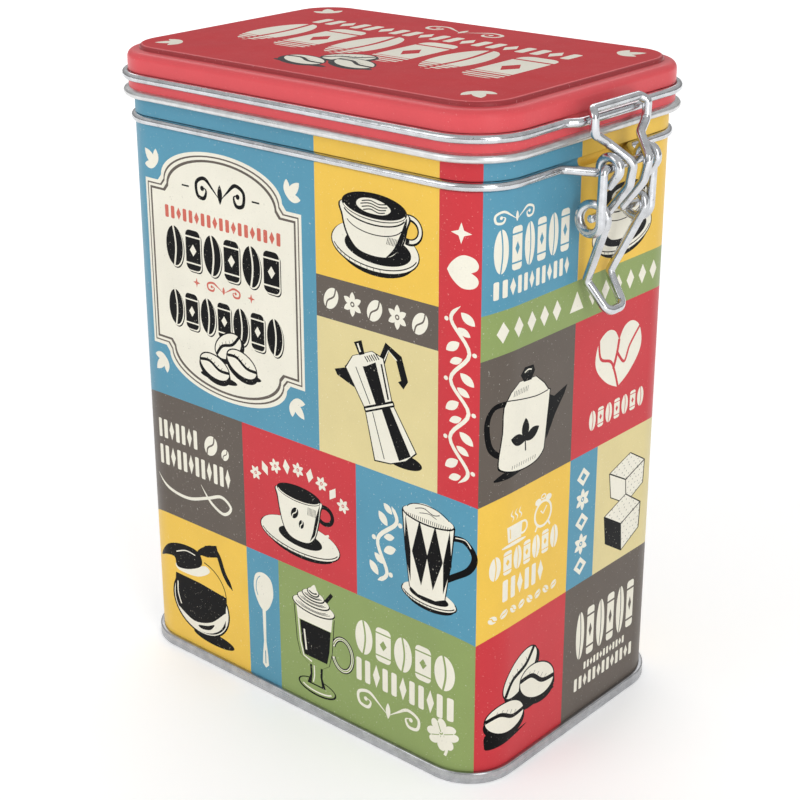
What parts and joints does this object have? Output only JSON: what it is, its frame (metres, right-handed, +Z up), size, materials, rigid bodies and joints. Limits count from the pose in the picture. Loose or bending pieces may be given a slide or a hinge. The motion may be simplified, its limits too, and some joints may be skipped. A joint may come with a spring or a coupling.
{
  "type": "coffee tin",
  "caption": "Tall rectangular tinplate coffee tin with rounded corners, printed walls, a wire-hinged lid and a wire toggle clasp.",
  "frame": {"origin": "centre of the bounding box in plan, on the plane of the seam ring the tin stands on", "axes": "+Z up out of the mouth; +X from the hinge towards the clasp, across the narrow faces; +Y across the wide faces"},
  "size_m": [0.1294, 0.0782, 0.1546],
  "materials": {
    "printed_tinplate": "satin",
    "lid_print": "satin",
    "bare_tinplate": "satin",
    "bright_wire": "gloss",
    "seal": "matte"
  },
  "bodies": {
    "body": {"body_wall": "printed_tinplate", "base_pan": "bare_tinplate", "body_wire": "bright_wire"},
    "lid": {"lid_shell": "lid_print", "lid_gasket": "seal", "lid_wire": "bright_wire"},
    "lever": {"clasp_lever": "bright_wire"},
    "link": {"clasp_link": "bright_wire"}
  },
  "joints": [
    {"name": "lid_hinge", "type": "hinge", "parent": "body", "child": "lid", "pos_m": [-0.06142, 0, 0.138], "axis": [0, -1, 0], "range_deg": [0, 105]},
    {"name": "lever_pivot", "type": "hinge", "parent": "body", "child": "lever", "pos_m": [0.06098, 0, 0.1385], "axis": [0, -1, 0], "range_deg": [0, 120]},
    {"name": "link_pivot", "type": "hinge", "parent": "lever", "child": "link", "pos_m": [0.05778, 0, 0.1276], "axis": [0, -1, 0], "range_deg": [-120, 0]}
  ],
  "couplings": [
    {"joint": "link_pivot", "follows": "lever_pivot", "ratio": -1}
  ]
}
